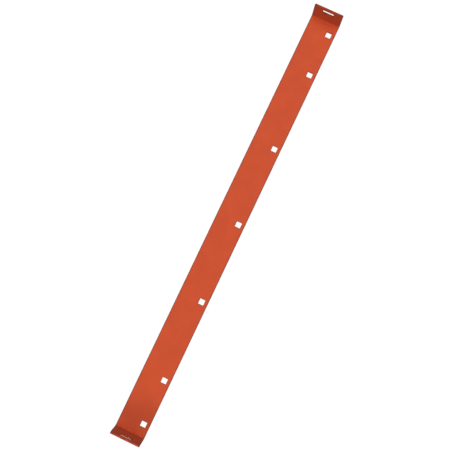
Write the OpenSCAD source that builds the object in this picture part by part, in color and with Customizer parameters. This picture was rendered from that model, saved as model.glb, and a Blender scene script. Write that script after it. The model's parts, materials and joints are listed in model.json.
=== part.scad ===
// Wear bar for an all-terrain-vehicle snow plow: one steel strip with both ends bent up.
// It lies flat with its wear face on z = 0. +X runs along the bar, the bolt holes are on
// the +Y side, and the end flanges stand up in +Z. The origin is the centre of the wear face.

/* [Strip] */
// Length of the flat between the two bends
flat_l = 1238; // [1210:1:1800]
// Width of the strip
bar_w = 84.1; // [75:0.1:150]
// Thickness of the plate
bar_t = 4.8; // [3:0.1:10]

/* [End flanges] */
// Height of a flange above the wear face
flange_h = 58; // [50:0.5:120]
// Angle that each end is bent up from flat
bend_angle = 82; // [70:1:90]
// Inside radius of each bend
bend_r = 3.2; // [1.5:0.1:8]

/* [Bolt holes] */
// Side of each square hole
hole_side = 15.1; // [10:0.1:20]
// Distance from the hole side's long edge to the line of holes
hole_edge = 17.7; // [15:0.1:35]
// Spacing of the five middle holes
hole_pitch = 231.5; // [100:0.5:235]
// Spacing from a middle hole to the end hole beside it
end_pitch = 126; // [60:0.5:130]

/* [Flange slots] */
// Length of each slot, across the strip
slot_l = 32; // [20:0.5:60]
// Height of each slot
slot_h = 11.4; // [8:0.1:16]
// Distance from a flange's top edge to the centre line of its slot
slot_edge = 14.5; // [11:0.1:20]

/* [Hidden] */
$fn = 96;
// How far a cutting tool runs past the faces that it cuts
past = 1;
// How far a flange's faces stand in from the bend's tangents, so that each cuts its arc cleanly
nudge = 0.001;
// Number of equally spaced holes to each side of the centre hole
side_holes = 2;
outer_r = bend_r + bar_t;
bend_end_z = outer_r - outer_r * cos(bend_angle);
tip_rise = bar_t * cos(bend_angle);
flange_l = (flange_h - bend_end_z - tip_rise) / sin(bend_angle);
hole_y = bar_w / 2 - hole_edge;
end_hole_x = side_holes * hole_pitch + end_pitch;
hole_xs = [-end_hole_x, for (i = [-side_holes : side_holes]) i * hole_pitch, end_hole_x];

// Moves children from the +X side's bend centre to the start of the straight flange there,
// with X then running up the flange and Y pointing in from it
module at_flange() {
    translate([flat_l / 2, outer_r]) {
        rotate(bend_angle) children();
    }
}

// Everything inside the line that a radius draws as it rolls along the strip, round both
// bends and up both flanges to the given length
module tray(radius, length) {
    translate([-flat_l / 2, outer_r - radius]) square([flat_l, flange_h]);
    for (side = [0, 1]) {
        mirror([side, 0]) {
            translate([flat_l / 2, outer_r]) circle(r = radius);
            at_flange() translate([0, nudge - radius]) square([length, 2 * outer_r]);
        }
    }
}

// The whole bent strip seen from the side, with X along and Y up
module side_profile() {
    difference() {
        tray(outer_r, flange_l);
        tray(bend_r, 2 * flange_h);
    }
}

// Square bolt hole through the flat
module bolt_hole() {
    translate([-hole_side / 2, -hole_side / 2, -past]) {
        cube([hole_side, hole_side, bar_t + 2 * past]);
    }
}

// Slot through the flange at the +X end
module flange_slot() {
    rotate([90, 0, 0]) {
        linear_extrude(height = slot_l, center = true) {
            at_flange() {
                translate([flange_l - slot_edge - slot_h / 2, -outer_r - past]) {
                    square([slot_h, bar_t + 2 * past]);
                }
            }
        }
    }
}

module wear_bar() {
    color([0.78, 0.33, 0.2]) {
        difference() {
            rotate([90, 0, 0]) {
                linear_extrude(height = bar_w, center = true) side_profile();
            }
            for (x = hole_xs) {
                translate([x, hole_y, 0]) bolt_hole();
            }
            for (side = [0, 1]) {
                mirror([side, 0, 0]) flange_slot();
            }
        }
    }
}

wear_bar();
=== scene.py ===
"""Wear bar of a small snow plow, in metres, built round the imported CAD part.

The bar is made as the real one is: a flat blank is punched and its edges are eased, then both ends are
bent up round a radius. The places of the holes, slots and bends come from the CAD part's box and mounts.
"""

import json
import math

import bmesh
import bpy
from mathutils import Matrix, Vector
from mathutils.geometry import delaunay_2d_cdt


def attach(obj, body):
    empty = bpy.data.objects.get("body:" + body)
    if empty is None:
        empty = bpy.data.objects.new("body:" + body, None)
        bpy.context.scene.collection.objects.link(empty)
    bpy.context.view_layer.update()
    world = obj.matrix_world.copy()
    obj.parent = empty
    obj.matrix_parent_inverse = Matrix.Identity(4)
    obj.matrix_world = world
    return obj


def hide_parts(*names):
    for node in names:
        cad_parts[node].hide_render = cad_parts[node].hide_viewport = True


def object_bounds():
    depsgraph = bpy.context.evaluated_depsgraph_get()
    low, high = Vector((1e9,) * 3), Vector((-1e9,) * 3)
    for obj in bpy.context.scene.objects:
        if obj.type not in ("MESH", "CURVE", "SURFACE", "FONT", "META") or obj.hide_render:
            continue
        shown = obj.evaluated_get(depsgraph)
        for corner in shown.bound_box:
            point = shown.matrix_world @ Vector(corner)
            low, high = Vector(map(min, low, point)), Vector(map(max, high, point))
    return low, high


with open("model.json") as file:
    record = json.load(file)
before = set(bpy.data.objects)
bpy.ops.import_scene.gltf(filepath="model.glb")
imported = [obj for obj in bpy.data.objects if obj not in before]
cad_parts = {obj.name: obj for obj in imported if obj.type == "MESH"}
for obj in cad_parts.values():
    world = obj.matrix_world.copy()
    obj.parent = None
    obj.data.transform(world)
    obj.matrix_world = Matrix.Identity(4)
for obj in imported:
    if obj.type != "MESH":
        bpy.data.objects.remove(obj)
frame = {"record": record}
cad_low, cad_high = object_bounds()
mounts = {m["name"]: m for m in frame["record"]["mounts"]}
MM = 0.001

# ---------------------------------------------------------------- sizes of the bar

# Sizes of the CAD part that its box and mounts don't give
HOLE_SIDE = 15.1 * MM
SLOT_HEIGHT = 11.4 * MM
BEND_RADIUS = 3.2 * MM

# Rounding that only the visible bar has
HOLE_CORNER = 0.7 * MM
SLOT_CORNER = 1.6 * MM
BLANK_CORNER = 3.0 * MM
EDGE_EASE = 0.45 * MM

# How finely the mesh follows the shape. Each wide face has a rim of narrow faces beside every cut edge,
# and the points of its grid keep clear of the openings' rims.
RIM_WIDTH = 2.6 * MM
GRID_STEP = 7.0 * MM
GRID_CLEARANCE = 1.6 * RIM_WIDTH
BEND_STEPS = 14
CORNER_STEPS = 5
EASE_STEPS = 3
# Points closer than this are one point
SAME_PLACE = 1e-7
# The kind of fill that gives triangles and stays inside the outline
FILL_INSIDE = 1

# Sizes and places worked out from the frame
thickness = mounts["seat_face"]["pos_m"][2]
width = cad_high.y - cad_low.y
slot_mount = mounts["right_flange_slot"]
lean = math.atan2(-slot_mount["axis"][0], slot_mount["axis"][2])
outer_radius = BEND_RADIUS + thickness
middle_radius = BEND_RADIUS + thickness / 2
flange_length = (cad_high.z - outer_radius + BEND_RADIUS * math.cos(lean)) / math.sin(lean)
flat_half = cad_high.x - outer_radius * math.sin(lean) - flange_length * math.cos(lean)
bend_length = lean * middle_radius
blank_half = flat_half + bend_length + flange_length
slot_rise = slot_mount["pos_m"][2] - (outer_radius - middle_radius * math.cos(lean))
slot_place = flat_half + bend_length + slot_rise / math.sin(lean)
slot_length = slot_mount["dims"]["slot_length_mm"] * MM

# ---------------------------------------------------------------- shapes on the flat blank
# A place on the blank is (s, y): s runs along the strip from its middle, y across it. Where it has a
# height too, that is w, measured up from the wear face.


class Cut:
    """A rounded rectangle that is cut along: an opening, or the blank's own outline."""

    def __init__(self, s, y, half_s, half_y, corner, is_outline=False, marks=()):
        self.s, self.y, self.half_s, self.half_y, self.corner = s, y, half_s, half_y, corner
        self.into_steel = -1 if is_outline else 1
        self.marks = marks

    def loop(self, inset):
        """Points round the cut, moved into the steel by inset, with one at each mark on its long sides."""
        grow = self.into_steel * inset
        half_s, half_y, corner = self.half_s + grow, self.half_y + grow, self.corner + grow
        points = []
        for turn, (side_s, side_y) in enumerate(((1, 1), (-1, 1), (-1, -1), (1, -1))):
            middle_s = self.s + side_s * (half_s - corner)
            middle_y = self.y + side_y * (half_y - corner)
            for k in range(CORNER_STEPS + 1):
                angle = math.pi / 2 * (turn + k / CORNER_STEPS)
                points.append((middle_s + corner * math.cos(angle), middle_y + corner * math.sin(angle)))
            long_side_next = side_s == side_y
            if long_side_next:
                points += [(mark, self.y + side_y * half_y) for mark in self.marks[:: -side_s]]
        return points

    def distance(self, s, y):
        """How far (s, y) is outside the rectangle. It is negative inside."""
        ds = abs(s - self.s) - (self.half_s - self.corner)
        dy = abs(y - self.y) - (self.half_y - self.corner)
        return math.hypot(max(ds, 0), max(dy, 0)) + min(max(ds, dy), 0) - self.corner


def even(start, end, gaps=None):
    """Evenly spaced values from start to end, in so many gaps or in gaps of GRID_STEP at most."""
    gaps = gaps or math.ceil((end - start) / GRID_STEP)
    return [start + (end - start) * i / gaps for i in range(gaps + 1)]


def openings():
    """The square bolt holes and the two flange slots, placed by the CAD part's mounts."""
    row, ends = mounts["bolt_row"], mounts["end_bolts"]
    pitch, y, count = row["dims"]["spacing_x_mm"] * MM, row["pos_m"][1], row["dims"]["count"]
    end = ends["dims"]["spacing_x_mm"] * MM / 2
    places = [-end, *((i - (count - 1) / 2) * pitch for i in range(count)), end]
    holes = [Cut(s, y, HOLE_SIDE / 2, HOLE_SIDE / 2, HOLE_CORNER) for s in places]
    slots = [Cut(s, 0.0, SLOT_HEIGHT / 2, slot_length / 2, SLOT_CORNER) for s in (-slot_place, slot_place)]
    return holes + slots


def lines_along():
    """Where lines cross the blank: close together in the bends, GRID_STEP apart at most elsewhere."""
    flat = even(-flat_half, flat_half)
    bend = even(flat_half, flat_half + bend_length, BEND_STEPS)
    flange = even(flat_half + bend_length, blank_half - BLANK_CORNER - RIM_WIDTH)
    right = bend[1:] + flange[1:]
    return [-s for s in reversed(right)] + flat + right


# ---------------------------------------------------------------- the mesh


def rim_profile():
    """Each (inset, w) down a cut edge, from the upper wide face round to the lower one."""
    high = [(RIM_WIDTH, thickness)]
    for k in range(EASE_STEPS + 1):
        angle = math.pi / 2 * k / EASE_STEPS
        high.append((EDGE_EASE * (1 - math.sin(angle)), thickness - EDGE_EASE * (1 - math.cos(angle))))
    return high + [(inset, thickness - w) for inset, w in reversed(high)]


def add_rim(bm, cut):
    """The eased edges and the cut side all round one cut. Returns its first and last rings."""
    rings = []
    for inset, w in rim_profile():
        rings.append([bm.verts.new((s, y, w)) for s, y in cut.loop(inset)])
    for upper, lower in zip(rings, rings[1:]):
        for i in range(len(upper)):
            j = (i + 1) % len(upper)
            bm.faces.new((upper[i], upper[j], lower[j], lower[i]))
    return rings[0], rings[-1]


def ring_edges(rings):
    """Pairs of neighbours round each ring, numbered as in the list of all the rings' points."""
    edges, start = [], 0
    for ring in rings:
        edges += [(start + i, start + (i + 1) % len(ring)) for i in range(len(ring))]
        start += len(ring)
    return edges


def add_grid(places, edges, outline, inner_cuts):
    """Adds points on lines across the blank, clear of the openings, and joins them up in the bends."""
    reach = outline.half_y - RIM_WIDTH
    bend_start, bend_end = flat_half - SAME_PLACE, flat_half + bend_length + SAME_PLACE
    for s in outline.marks:
        line = [places.index(Vector((s, -reach)))]
        for y in even(-reach, reach)[1:-1]:
            if all(cut.distance(s, y) > GRID_CLEARANCE for cut in inner_cuts):
                line.append(len(places))
                places.append(Vector((s, y)))
        line.append(places.index(Vector((s, reach))))
        if bend_start < abs(s) < bend_end:
            edges += list(zip(line, line[1:]))


def add_wide_face(bm, rings, cuts, w):
    """Fills the wide face at height w, between the ring round the blank and those round the openings."""
    known = [v for ring in rings for v in ring]
    places = [Vector((v.co.x, v.co.y)) for v in known]
    edges = ring_edges(rings)
    outline, *inner_cuts = cuts
    add_grid(places, edges, outline, inner_cuts)
    out, _, faces, sources, _, _ = delaunay_2d_cdt(places, edges, [], FILL_INSIDE, SAME_PLACE)
    verts = []
    for place, source in zip(out, sources):
        old = [i for i in source if i < len(known)]
        verts.append(known[old[0]] if old else bm.verts.new((place.x, place.y, w)))
    # The fill covers the openings too, so its triangles there are left out
    for face in faces:
        middle = sum((out[i] for i in face), Vector((0, 0))) / len(face)
        if all(cut.distance(*middle) > RIM_WIDTH for cut in inner_cuts):
            bm.faces.new([verts[i] for i in face])


def bent(point):
    """Where a point of the flat blank goes when the ends are bent up."""
    s, y, w = point
    past = abs(s) - flat_half
    if past <= 0:
        return Vector((s, y, w))
    angle = min(past / middle_radius, lean)
    radius = outer_radius - w
    rest = max(0.0, past - bend_length)
    x = flat_half + radius * math.sin(angle) + rest * math.cos(angle)
    z = outer_radius - radius * math.cos(angle) + rest * math.sin(angle)
    return Vector((math.copysign(x, s), y, z))


def make_bar():
    """Makes the punched and eased blank, notes each point's place on it, then bends its ends up."""
    cuts = [Cut(0, 0, blank_half, width / 2, BLANK_CORNER, True, lines_along()), *openings()]
    bm = bmesh.new()
    rims = [add_rim(bm, cut) for cut in cuts]
    add_wide_face(bm, [high for high, _ in rims], cuts, thickness)
    add_wide_face(bm, [low for _, low in rims], cuts, 0.0)
    bmesh.ops.recalc_face_normals(bm, faces=bm.faces)
    for face in bm.faces:
        face.smooth = True
    mesh = bpy.data.meshes.new("wear_bar_steel")
    bm.to_mesh(mesh)
    bm.free()
    # Adding an attribute can move the ones before it, so both are looked up after both are added
    mesh.attributes.new("blank_place", "FLOAT_VECTOR", "POINT")
    mesh.attributes.new("rim", "FLOAT", "POINT")
    place, rim = mesh.attributes["blank_place"], mesh.attributes["rim"]
    for v in mesh.vertices:
        place.data[v.index].vector = v.co
        inset = min(cut.into_steel * cut.distance(v.co.x, v.co.y) for cut in cuts)
        rim.data[v.index].value = 1.0 if inset < EDGE_EASE + SAME_PLACE else 0.0
        v.co = bent(v.co)
    mesh.update()
    bar = bpy.data.objects.new("wear_bar_coated", mesh)
    bpy.context.scene.collection.objects.link(bar)
    bar.modifiers.new("even_shading", "WEIGHTED_NORMAL")
    return bar


# ---------------------------------------------------------------- materials


class Nodes:
    """A short way to write a node tree. Each call adds nodes and returns an output of the last one."""

    def __init__(self, owner):
        owner.use_nodes = True
        self.tree = owner.node_tree
        self.tree.nodes.clear()

    def add(self, kind, inputs, output=0, **settings):
        """Adds one node. Its sockets go by name or number, and output=None gives all its outputs."""
        node = self.tree.nodes.new("ShaderNode" + kind)
        for name, value in settings.items():
            setattr(node, name, value)
        for name, value in inputs.items():
            if isinstance(value, bpy.types.NodeSocket):
                self.tree.links.new(value, node.inputs[name])
            else:
                node.inputs[name].default_value = value
        if output is None:
            return tuple(node.outputs)
        return node.outputs[output] if node.outputs else None

    def calc(self, operation, a, b=0.0):
        return self.add("Math", {0: a, 1: b}, operation=operation)

    def plus(self, a, b):
        return self.calc("ADD", a, b)

    def times(self, a, b):
        return self.calc("MULTIPLY", a, b)

    def mix(self, factor, a, b):
        """A colour between a and b. Its sockets go by number, since this node's sockets share names."""
        return self.add("Mix", {0: factor, 6: a, 7: b}, output=2, data_type="RGBA")

    def noise(self, place, per_metre, detail):
        return self.add("TexNoise", {"Vector": place, "Scale": per_metre, "Detail": detail})

    def eased(self, value, low, high, to_low=0.0, to_high=1.0):
        """value carried smoothly from low..high to to_low..to_high, and held at both ends."""
        inputs = {"Value": value, "From Min": low, "From Max": high, "To Min": to_low, "To Max": to_high}
        return self.add("MapRange", inputs, interpolation_type="SMOOTHSTEP")

    def pattern(self, place, per_metre, detail, start, full, low=0.0, high=1.0):
        """Noise lumps: low where the noise is under start, high where it is over full."""
        return self.eased(self.noise(place, per_metre, detail), start, full, low, high)


# Colours are linear red, green, blue and alpha
COAT_COLOUR = (0.622, 0.0765, 0.0178, 1.0)
# The darker coat: random deeper tone, and also the colour of the painted shade stretches
COAT_DEEP_AND_SHADED = (0.460, 0.0525, 0.0115, 1.0)
# Cut edges: thin coat, and partly painted shade that darkens the outline along the edges
EDGE_COLOUR = (0.110, 0.0240, 0.0140, 1.0)
STEEL_COLOUR = (0.100, 0.0720, 0.0560, 1.0)

# Patterns of the coat: lumps in a metre, detail, and the noise values where each starts and is full.
# PEEL and GRIT raise the surface everywhere, so they have no start.
DRIFT = (22.0, 3.0, 0.35, 0.65)
MOTTLE = (420.0, 2.0, 0.30, 0.70)
EDGE_DARKENING = (150.0, 4.0, 0.37, 0.60)
CHIPS = (330.0, 3.0, 0.61, 0.64)
SHEEN = (60.0, 4.0, 0.30, 0.70)
PEEL = (480.0, 1.5)
GRIT = (1500.0, 1.0)

# How much each of them does
DRIFT_SHARE = 0.20
MOTTLE_SHARE = 0.35
EDGE_DARKENING_LEAST = 0.4
EDGE_DARKENING_MOST = 0.9
SHEEN_ROUGHNESS = (0.38, 0.50)
GRIT_SHARE = 0.25
PEEL_HEIGHT = 0.30 * MM
# Stretches along the blank that are darkened as painted shade: start, full from, full to, end, and how
# dark.
# The first is the -X flange down to its bend, and the second fades in and out just before the +X bend.
PAINTED_SHADE_PATCHES = ((-0.750, -0.700, -0.640, -0.621, 0.4), (0.500, 0.575, 0.580, 0.616, 0.75))
# Wear of a cut edge and painted shade along it: full along the long sides and at their corners, less round
# openings and at tips
FULL_WEAR_AND_SHADE_WITHIN = 3.0 * MM
LESS_WEAR_AND_SHADE_BEYOND = 6.0 * MM
LESS_WEAR_AND_SHADE = 0.35
# The values of edge wear and shade between which the darkening and chips set in
EDGE_DARKENED = (0.0, 0.6)
CHIPPED = (0.7, 0.9)

# How the coat reflects: refraction, strength of the reflection, and dusty paleness at low angles
COAT_IOR = 1.45
COAT_REFLECTION = 0.2
COAT_DUST = 0.08


def powder_coat():
    """Satin orange-red powder coat with orange peel, and thin, darker, chipped coat on cut edges, whose
    darkening is partly painted shade.
    """
    material = bpy.data.materials.new("orange_red_powder_coat")
    n = Nodes(material)
    place = n.add("Attribute", {}, output="Vector", attribute_name="blank_place")
    rim = n.add("Attribute", {}, output="Fac", attribute_name="rim")
    along, across, _ = n.add("SeparateXYZ", {"Vector": place}, output=None)

    drift = n.times(n.pattern(place, *DRIFT), DRIFT_SHARE)
    mottle = n.times(n.pattern(place, *MOTTLE), MOTTLE_SHARE)
    deep_tone_and_shade = n.plus(drift, mottle)
    # Painted shade: the -X flange and the face just before the +X bend are darkened towards the deeper
    # colour
    for start, full, full_end, end, share in PAINTED_SHADE_PATCHES:
        deep_tone_and_shade = n.plus(deep_tone_and_shade, n.times(n.eased(along, start, full), n.eased(along, full_end, end, share, 0.0)))
    colour = n.mix(deep_tone_and_shade, COAT_COLOUR, COAT_DEEP_AND_SHADED)
    off_middle = n.calc("ABSOLUTE", across)
    least, most = width / 2 - LESS_WEAR_AND_SHADE_BEYOND, width / 2 - FULL_WEAR_AND_SHADE_WITHIN
    wear_and_edge_shade = n.times(rim, n.eased(off_middle, least, most, LESS_WEAR_AND_SHADE, 1.0))
    thinned_and_shaded_edge = n.times(n.eased(wear_and_edge_shade, *EDGE_DARKENED), n.pattern(place, *EDGE_DARKENING, EDGE_DARKENING_LEAST, EDGE_DARKENING_MOST))
    # Thinned coat, and painted shade darkening the outline of the cut edges
    colour = n.mix(thinned_and_shaded_edge, colour, EDGE_COLOUR)
    chips = n.times(n.eased(wear_and_edge_shade, *CHIPPED), n.pattern(place, *CHIPS))
    colour = n.mix(chips, colour, STEEL_COLOUR)

    height = n.plus(n.noise(place, *PEEL), n.times(n.noise(place, *GRIT), GRIT_SHARE))
    inputs = {
        "Base Color": colour,
        "Roughness": n.pattern(place, *SHEEN, *SHEEN_ROUGHNESS),
        "IOR": COAT_IOR,
        "Specular IOR Level": COAT_REFLECTION,
        "Sheen Weight": COAT_DUST,
        "Normal": n.add("Bump", {"Height": height, "Distance": PEEL_HEIGHT}),
    }
    n.add("OutputMaterial", {"Surface": n.add("BsdfPrincipled", inputs)})
    return material


# The camera sees the floor's glow and a faint share of the light on it. The bar gets only the bounce.
FLOOR_GLOW = 0.96
FLOOR_SHADE = 0.06
FLOOR_BOUNCE = 0.30


def grey(level):
    return (level, level, level, 1.0)


def studio_floor():
    """A pale floor that looks white to the camera and throws only a soft bounce on the bar."""
    material = bpy.data.materials.new("pale_studio_floor")
    n = Nodes(material)
    glow = n.add("Emission", {"Color": grey(1.0), "Strength": FLOOR_GLOW})
    faint = n.add("BsdfDiffuse", {"Color": grey(FLOOR_SHADE)})
    seen = n.add("AddShader", {0: glow, 1: faint})
    bounce = n.add("BsdfDiffuse", {"Color": grey(FLOOR_BOUNCE)})
    camera_ray = n.add("LightPath", {}, output="Is Camera Ray")
    n.add("OutputMaterial", {"Surface": n.add("MixShader", {0: camera_ray, 1: bounce, 2: seen})})
    return material


# ---------------------------------------------------------------- stage, light and camera

FLOOR_HALF = 12.0
FLOOR_GAP = 0.2 * MM

# The sky's bright band, its patch straight overhead, and its even part
BAND_HEIGHT = math.radians(54)
BAND_TILT = math.radians(12)
BAND_SPREAD = math.radians(15)
BAND_LIGHT = 1.62
OVERHEAD_LIGHT = 1.15
OVERHEAD_FOCUS = 6
SKY_LIGHT = 0.1
# Keeps the band's tilt from dividing by nothing straight overhead
LEAST_LEVEL = 1e-7


def make_floor():
    """A flat square just under the bar."""
    z = cad_low.z - FLOOR_GAP
    corners = [(x * FLOOR_HALF, y * FLOOR_HALF, z) for x, y in ((-1, -1), (1, -1), (1, 1), (-1, 1))]
    mesh = bpy.data.meshes.new("floor")
    mesh.from_pydata(corners, [], [(0, 1, 2, 3)])
    mesh.materials.append(studio_floor())
    floor = bpy.data.objects.new("floor", mesh)
    bpy.context.scene.collection.objects.link(floor)


def make_sky():
    """Soft light, mostly from a bright band round the sky, tilted to hang lower beyond the bar's +X end."""
    world = bpy.data.worlds.new("studio")
    bpy.context.scene.world = world
    n = Nodes(world)
    direction = n.add("TexCoord", {}, output="Generated")
    x, y, z = n.add("SeparateXYZ", {"Vector": direction}, output=None)
    level = n.calc("SQRT", n.plus(n.times(x, x), n.times(y, y)))
    drop = n.times(n.calc("DIVIDE", x, n.calc("MAXIMUM", level, LEAST_LEVEL)), BAND_TILT)
    above = n.plus(n.calc("SUBTRACT", n.calc("ARCSINE", z), BAND_HEIGHT), drop)
    spreads = n.calc("DIVIDE", above, BAND_SPREAD)
    band = n.calc("EXPONENT", n.times(n.times(spreads, spreads), -1.0))
    overhead = n.calc("POWER", n.calc("MAXIMUM", z, 0.0), OVERHEAD_FOCUS)
    light = n.plus(n.plus(n.times(band, BAND_LIGHT), n.times(overhead, OVERHEAD_LIGHT)), SKY_LIGHT)
    # The camera sees plain white behind the bar
    camera_ray = n.add("LightPath", {}, output="Is Camera Ray")
    strength = n.plus(n.times(light, n.calc("SUBTRACT", 1.0, camera_ray)), camera_ray)
    n.add("OutputWorld", {"Surface": n.add("Background", {"Color": grey(1.0), "Strength": strength})})


# Where the camera is, what it points at, and the direction that is up in the picture
CAMERA_PLACE = Vector((0.1731, 0.1226, 1.7694))
CAMERA_TARGET = Vector((0.0337, 0.0406, 0.0048))
PICTURE_UP = Vector((-0.9041, -0.4273, 0.0))
# Focal length in millimetres, and how far the lens is shifted, in picture widths
LENS = 52.15
LENS_SHIFT = 0.03


def make_camera():
    """Looks almost straight down on the bar, which runs across the picture from corner to corner."""
    data = bpy.data.cameras.new("camera")
    data.lens = LENS
    data.shift_x = -LENS_SHIFT
    data.shift_y = LENS_SHIFT
    camera = bpy.data.objects.new("camera", data)
    bpy.context.scene.collection.objects.link(camera)
    back = (CAMERA_PLACE - CAMERA_TARGET).normalized()
    right = PICTURE_UP.cross(back).normalized()
    camera.matrix_world = Matrix((right, back.cross(right), back)).transposed().to_4x4()
    camera.location = CAMERA_PLACE
    bpy.context.scene.camera = camera


def set_picture_tones():
    """Shows colours as they are, without a film look."""
    settings = bpy.context.scene.view_settings
    settings.view_transform = "Standard"
    settings.look = "None"


bar = make_bar()
bar.data.materials.append(powder_coat())
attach(bar, "root")
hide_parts("wear_bar")

make_floor()
make_sky()
make_camera()
set_picture_tones()
